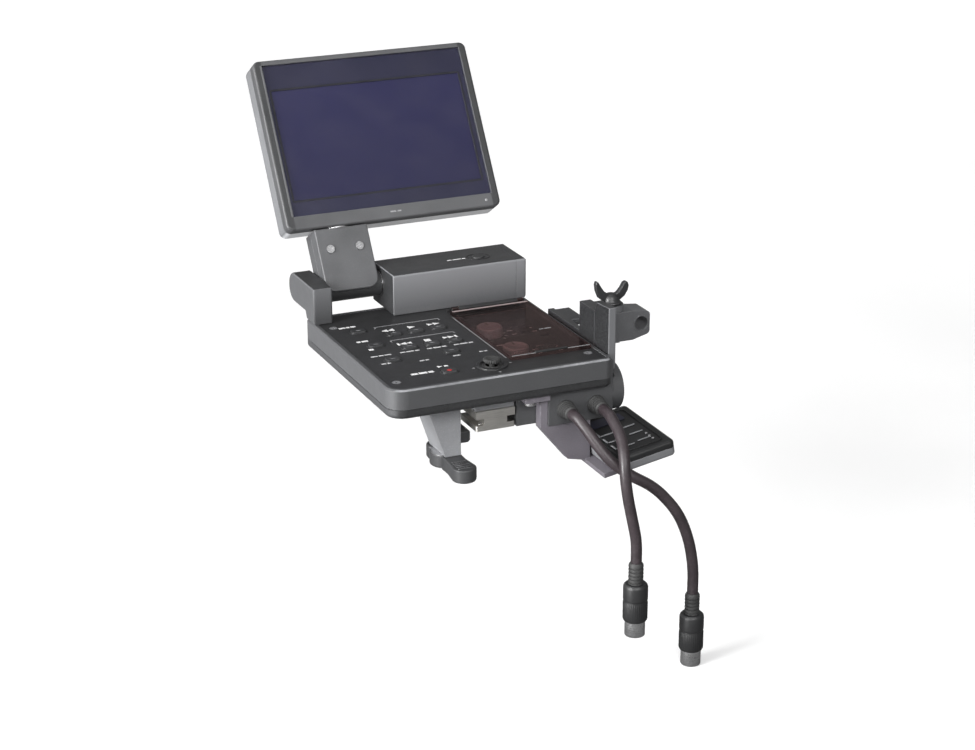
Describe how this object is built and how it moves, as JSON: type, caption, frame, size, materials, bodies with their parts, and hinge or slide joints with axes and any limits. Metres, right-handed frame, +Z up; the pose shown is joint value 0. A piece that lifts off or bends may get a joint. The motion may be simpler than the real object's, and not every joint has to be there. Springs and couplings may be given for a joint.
{
  "type": "wireless receiver unit",
  "caption": "Camera-top control housing with fold-out screen, keypad, microphone sockets, shoe foot, microphone arm, captive cables and a flat receiver module on a sloping bracket.",
  "frame": {"origin": "centre of the shoe foot's flat seat, which is the underside of the whole foot", "axes": "+Z up out of the shoe, +Y forward along the camera's view and away from the operator, +X to the operator's right"},
  "size_m": [0.1404, 0.2134, 0.2495],
  "materials": {
    "charcoal_plastic": "fine moulded texture",
    "deck_plastic": "fine matt texture",
    "smoked_plastic": "smoked, glossy",
    "screen_glass": "clear, dark behind",
    "grey_metal": "grey powder paint",
    "bright_steel": "bright machined",
    "shoe_metal": "machined",
    "soft_rubber": "matt",
    "circuit_board": "solder mask",
    "display_stack": "glossy",
    "dark_parts": "matt",
    "contact_metal": "gold plated",
    "plug_shell": "matt"
  },
  "bodies": {
    "housing": {"base_shell": "charcoal_plastic", "top_plate": "deck_plastic", "keypad_mat": "soft_rubber", "main_board": "circuit_board", "audio_tray": "charcoal_plastic", "cover_hinge": "bright_steel", "deck_screws": "bright_steel", "mounting_screws": "bright_steel", "left_ear": "grey_metal", "hinge_block": "charcoal_plastic", "hinge_block_cap": "charcoal_plastic", "hinge_shaft": "bright_steel", "xlr_block": "charcoal_plastic", "xlr_inserts": "dark_parts", "xlr_contacts": "contact_metal", "foot_casting": "grey_metal", "shoe_foot": "shoe_metal", "receiver_bracket": "grey_metal", "receiver_case": "charcoal_plastic", "receiver_lid": "charcoal_plastic", "receiver_board": "circuit_board", "mic_arm_base": "grey_metal", "cable_boots": "soft_rubber", "monitor_cable": "soft_rubber", "audio_cable": "soft_rubber", "cable_plugs": "plug_shell"},
    "arm": {"tilt_barrel": "grey_metal", "arm_rear_half": "grey_metal", "arm_front_half": "grey_metal", "arm_screws": "bright_steel"},
    "screen": {"screen_rear_shell": "charcoal_plastic", "screen_front_bezel": "charcoal_plastic", "screen_window": "screen_glass", "lcd_module": "display_stack", "swivel_shaft": "bright_steel"},
    "audio_cover": {"audio_cover": "smoked_plastic"},
    "button_display": {"button_display": "deck_plastic"},
    "button_monitor": {"button_monitor": "deck_plastic"},
    "button_menu": {"button_menu": "deck_plastic"},
    "button_rewind": {"button_rewind": "deck_plastic"},
    "button_play": {"button_play": "deck_plastic"},
    "button_forward": {"button_forward": "deck_plastic"},
    "button_previous": {"button_previous": "deck_plastic"},
    "button_stop": {"button_stop": "deck_plastic"},
    "button_next": {"button_next": "deck_plastic"},
    "button_cancel": {"button_cancel": "deck_plastic"},
    "button_record": {"button_record": "deck_plastic"},
    "button_mirror": {"button_mirror": "charcoal_plastic"},
    "joystick_gimbal": {"joystick_gimbal": "dark_parts"},
    "joystick_cap": {"joystick_cap": "soft_rubber"},
    "dial_channel_one": {"dial_channel_one": "dark_parts"},
    "dial_channel_two": {"dial_channel_two": "dark_parts"},
    "switch_channel_one": {"switch_channel_one": "dark_parts"},
    "switch_channel_two": {"switch_channel_two": "dark_parts"},
    "xlr_lever_one": {"xlr_lever_one": "dark_parts"},
    "xlr_lever_two": {"xlr_lever_two": "dark_parts"},
    "lock_lever": {"lock_lever": "grey_metal"},
    "clamp_jaw": {"clamp_jaw": "grey_metal"},
    "mic_arm": {"mic_arm": "grey_metal"},
    "wing_screw": {"wing_screw": "bright_steel"}
  },
  "joints": [
    {"name": "screen_tilt", "type": "hinge", "parent": "housing", "child": "arm", "pos_m": [-0.02975, 0.092, 0.0394], "axis": [-1, 0, 0], "range_deg": [-122, 28]},
    {"name": "screen_swivel", "type": "hinge", "parent": "arm", "child": "screen", "pos_m": [-0.02975, 0.092, 0.0394], "axis": [0, 0.5299, 0.848], "range_deg": [-180, 90]},
    {"name": "cover_lift", "type": "hinge", "parent": "housing", "child": "audio_cover", "pos_m": [0.03025, 0.0677, 0.0298], "axis": [-1, 0, 0], "range_deg": [0, 95]},
    {"name": "display_press", "type": "slide", "parent": "housing", "child": "button_display", "axis": [0, 0, -1], "range_m": [0, 0.0006]},
    {"name": "monitor_press", "type": "slide", "parent": "housing", "child": "button_monitor", "axis": [0, 0, -1], "range_m": [0, 0.0006]},
    {"name": "menu_press", "type": "slide", "parent": "housing", "child": "button_menu", "axis": [0, 0, -1], "range_m": [0, 0.0006]},
    {"name": "rewind_press", "type": "slide", "parent": "housing", "child": "button_rewind", "axis": [0, 0, -1], "range_m": [0, 0.0006]},
    {"name": "play_press", "type": "slide", "parent": "housing", "child": "button_play", "axis": [0, 0, -1], "range_m": [0, 0.0006]},
    {"name": "forward_press", "type": "slide", "parent": "housing", "child": "button_forward", "axis": [0, 0, -1], "range_m": [0, 0.0006]},
    {"name": "previous_press", "type": "slide", "parent": "housing", "child": "button_previous", "axis": [0, 0, -1], "range_m": [0, 0.0006]},
    {"name": "stop_press", "type": "slide", "parent": "housing", "child": "button_stop", "axis": [0, 0, -1], "range_m": [0, 0.0006]},
    {"name": "next_press", "type": "slide", "parent": "housing", "child": "button_next", "axis": [0, 0, -1], "range_m": [0, 0.0006]},
    {"name": "cancel_press", "type": "slide", "parent": "housing", "child": "button_cancel", "axis": [0, 0, -1], "range_m": [0, 0.0006]},
    {"name": "record_press", "type": "slide", "parent": "housing", "child": "button_record", "axis": [0, 0, -1], "range_m": [0, 0.0006]},
    {"name": "mirror_press", "type": "slide", "parent": "housing", "child": "button_mirror", "axis": [0, 0, -1], "range_m": [0, 0.0006]},
    {"name": "joystick_sideways", "type": "hinge", "parent": "housing", "child": "joystick_gimbal", "pos_m": [0.00025, -0.0045, 0.0225], "axis": [0, 1, 0], "range_deg": [-8, 8]},
    {"name": "joystick_near_far", "type": "hinge", "parent": "joystick_gimbal", "child": "joystick_cap", "pos_m": [0.00025, -0.0045, 0.0225], "axis": [1, 0, 0], "range_deg": [-8, 8]},
    {"name": "dial_one_turn", "type": "hinge", "parent": "housing", "child": "dial_channel_one", "pos_m": [0.02225, 0.0185, 0.0245], "axis": [0, 0, 1], "range_deg": [-140, 140]},
    {"name": "dial_two_turn", "type": "hinge", "parent": "housing", "child": "dial_channel_two", "pos_m": [0.02225, 0.0475, 0.0245], "axis": [0, 0, 1], "range_deg": [-140, 140]},
    {"name": "switch_one_slide", "type": "slide", "parent": "housing", "child": "switch_channel_one", "axis": [0, 1, 0], "range_m": [0, 0.004]},
    {"name": "switch_two_slide", "type": "slide", "parent": "housing", "child": "switch_channel_two", "axis": [0, 1, 0], "range_m": [0, 0.004]},
    {"name": "xlr_lever_one_press", "type": "slide", "parent": "housing", "child": "xlr_lever_one", "axis": [-1, 0, 0], "range_m": [0, 0.0015]},
    {"name": "xlr_lever_two_press", "type": "slide", "parent": "housing", "child": "xlr_lever_two", "axis": [-1, 0, 0], "range_m": [0, 0.0015]},
    {"name": "lock_turn", "type": "hinge", "parent": "housing", "child": "lock_lever", "pos_m": [-0.01845, 0.0045, -0.0115], "axis": [0, 0, -1], "range_deg": [0, 90]},
    {"name": "jaw_drop", "type": "slide", "parent": "housing", "child": "clamp_jaw", "axis": [0, 0, -1], "range_m": [0, 0.0015]},
    {"name": "mic_arm_turn", "type": "hinge", "parent": "housing", "child": "mic_arm", "pos_m": [0.06425, 0.0077, 0.0345], "axis": [0, 0, 1], "range_deg": [-60, 90]},
    {"name": "wing_screw_turn", "type": "hinge", "parent": "housing", "child": "wing_screw", "pos_m": [0.06425, 0.0077, 0.0465], "axis": [0, 0, 1], "range_deg": [0, 450]}
  ],
  "couplings": [
    {"joint": "jaw_drop", "follows": "lock_turn", "m_per_rad": 0.00095483}
  ]
}
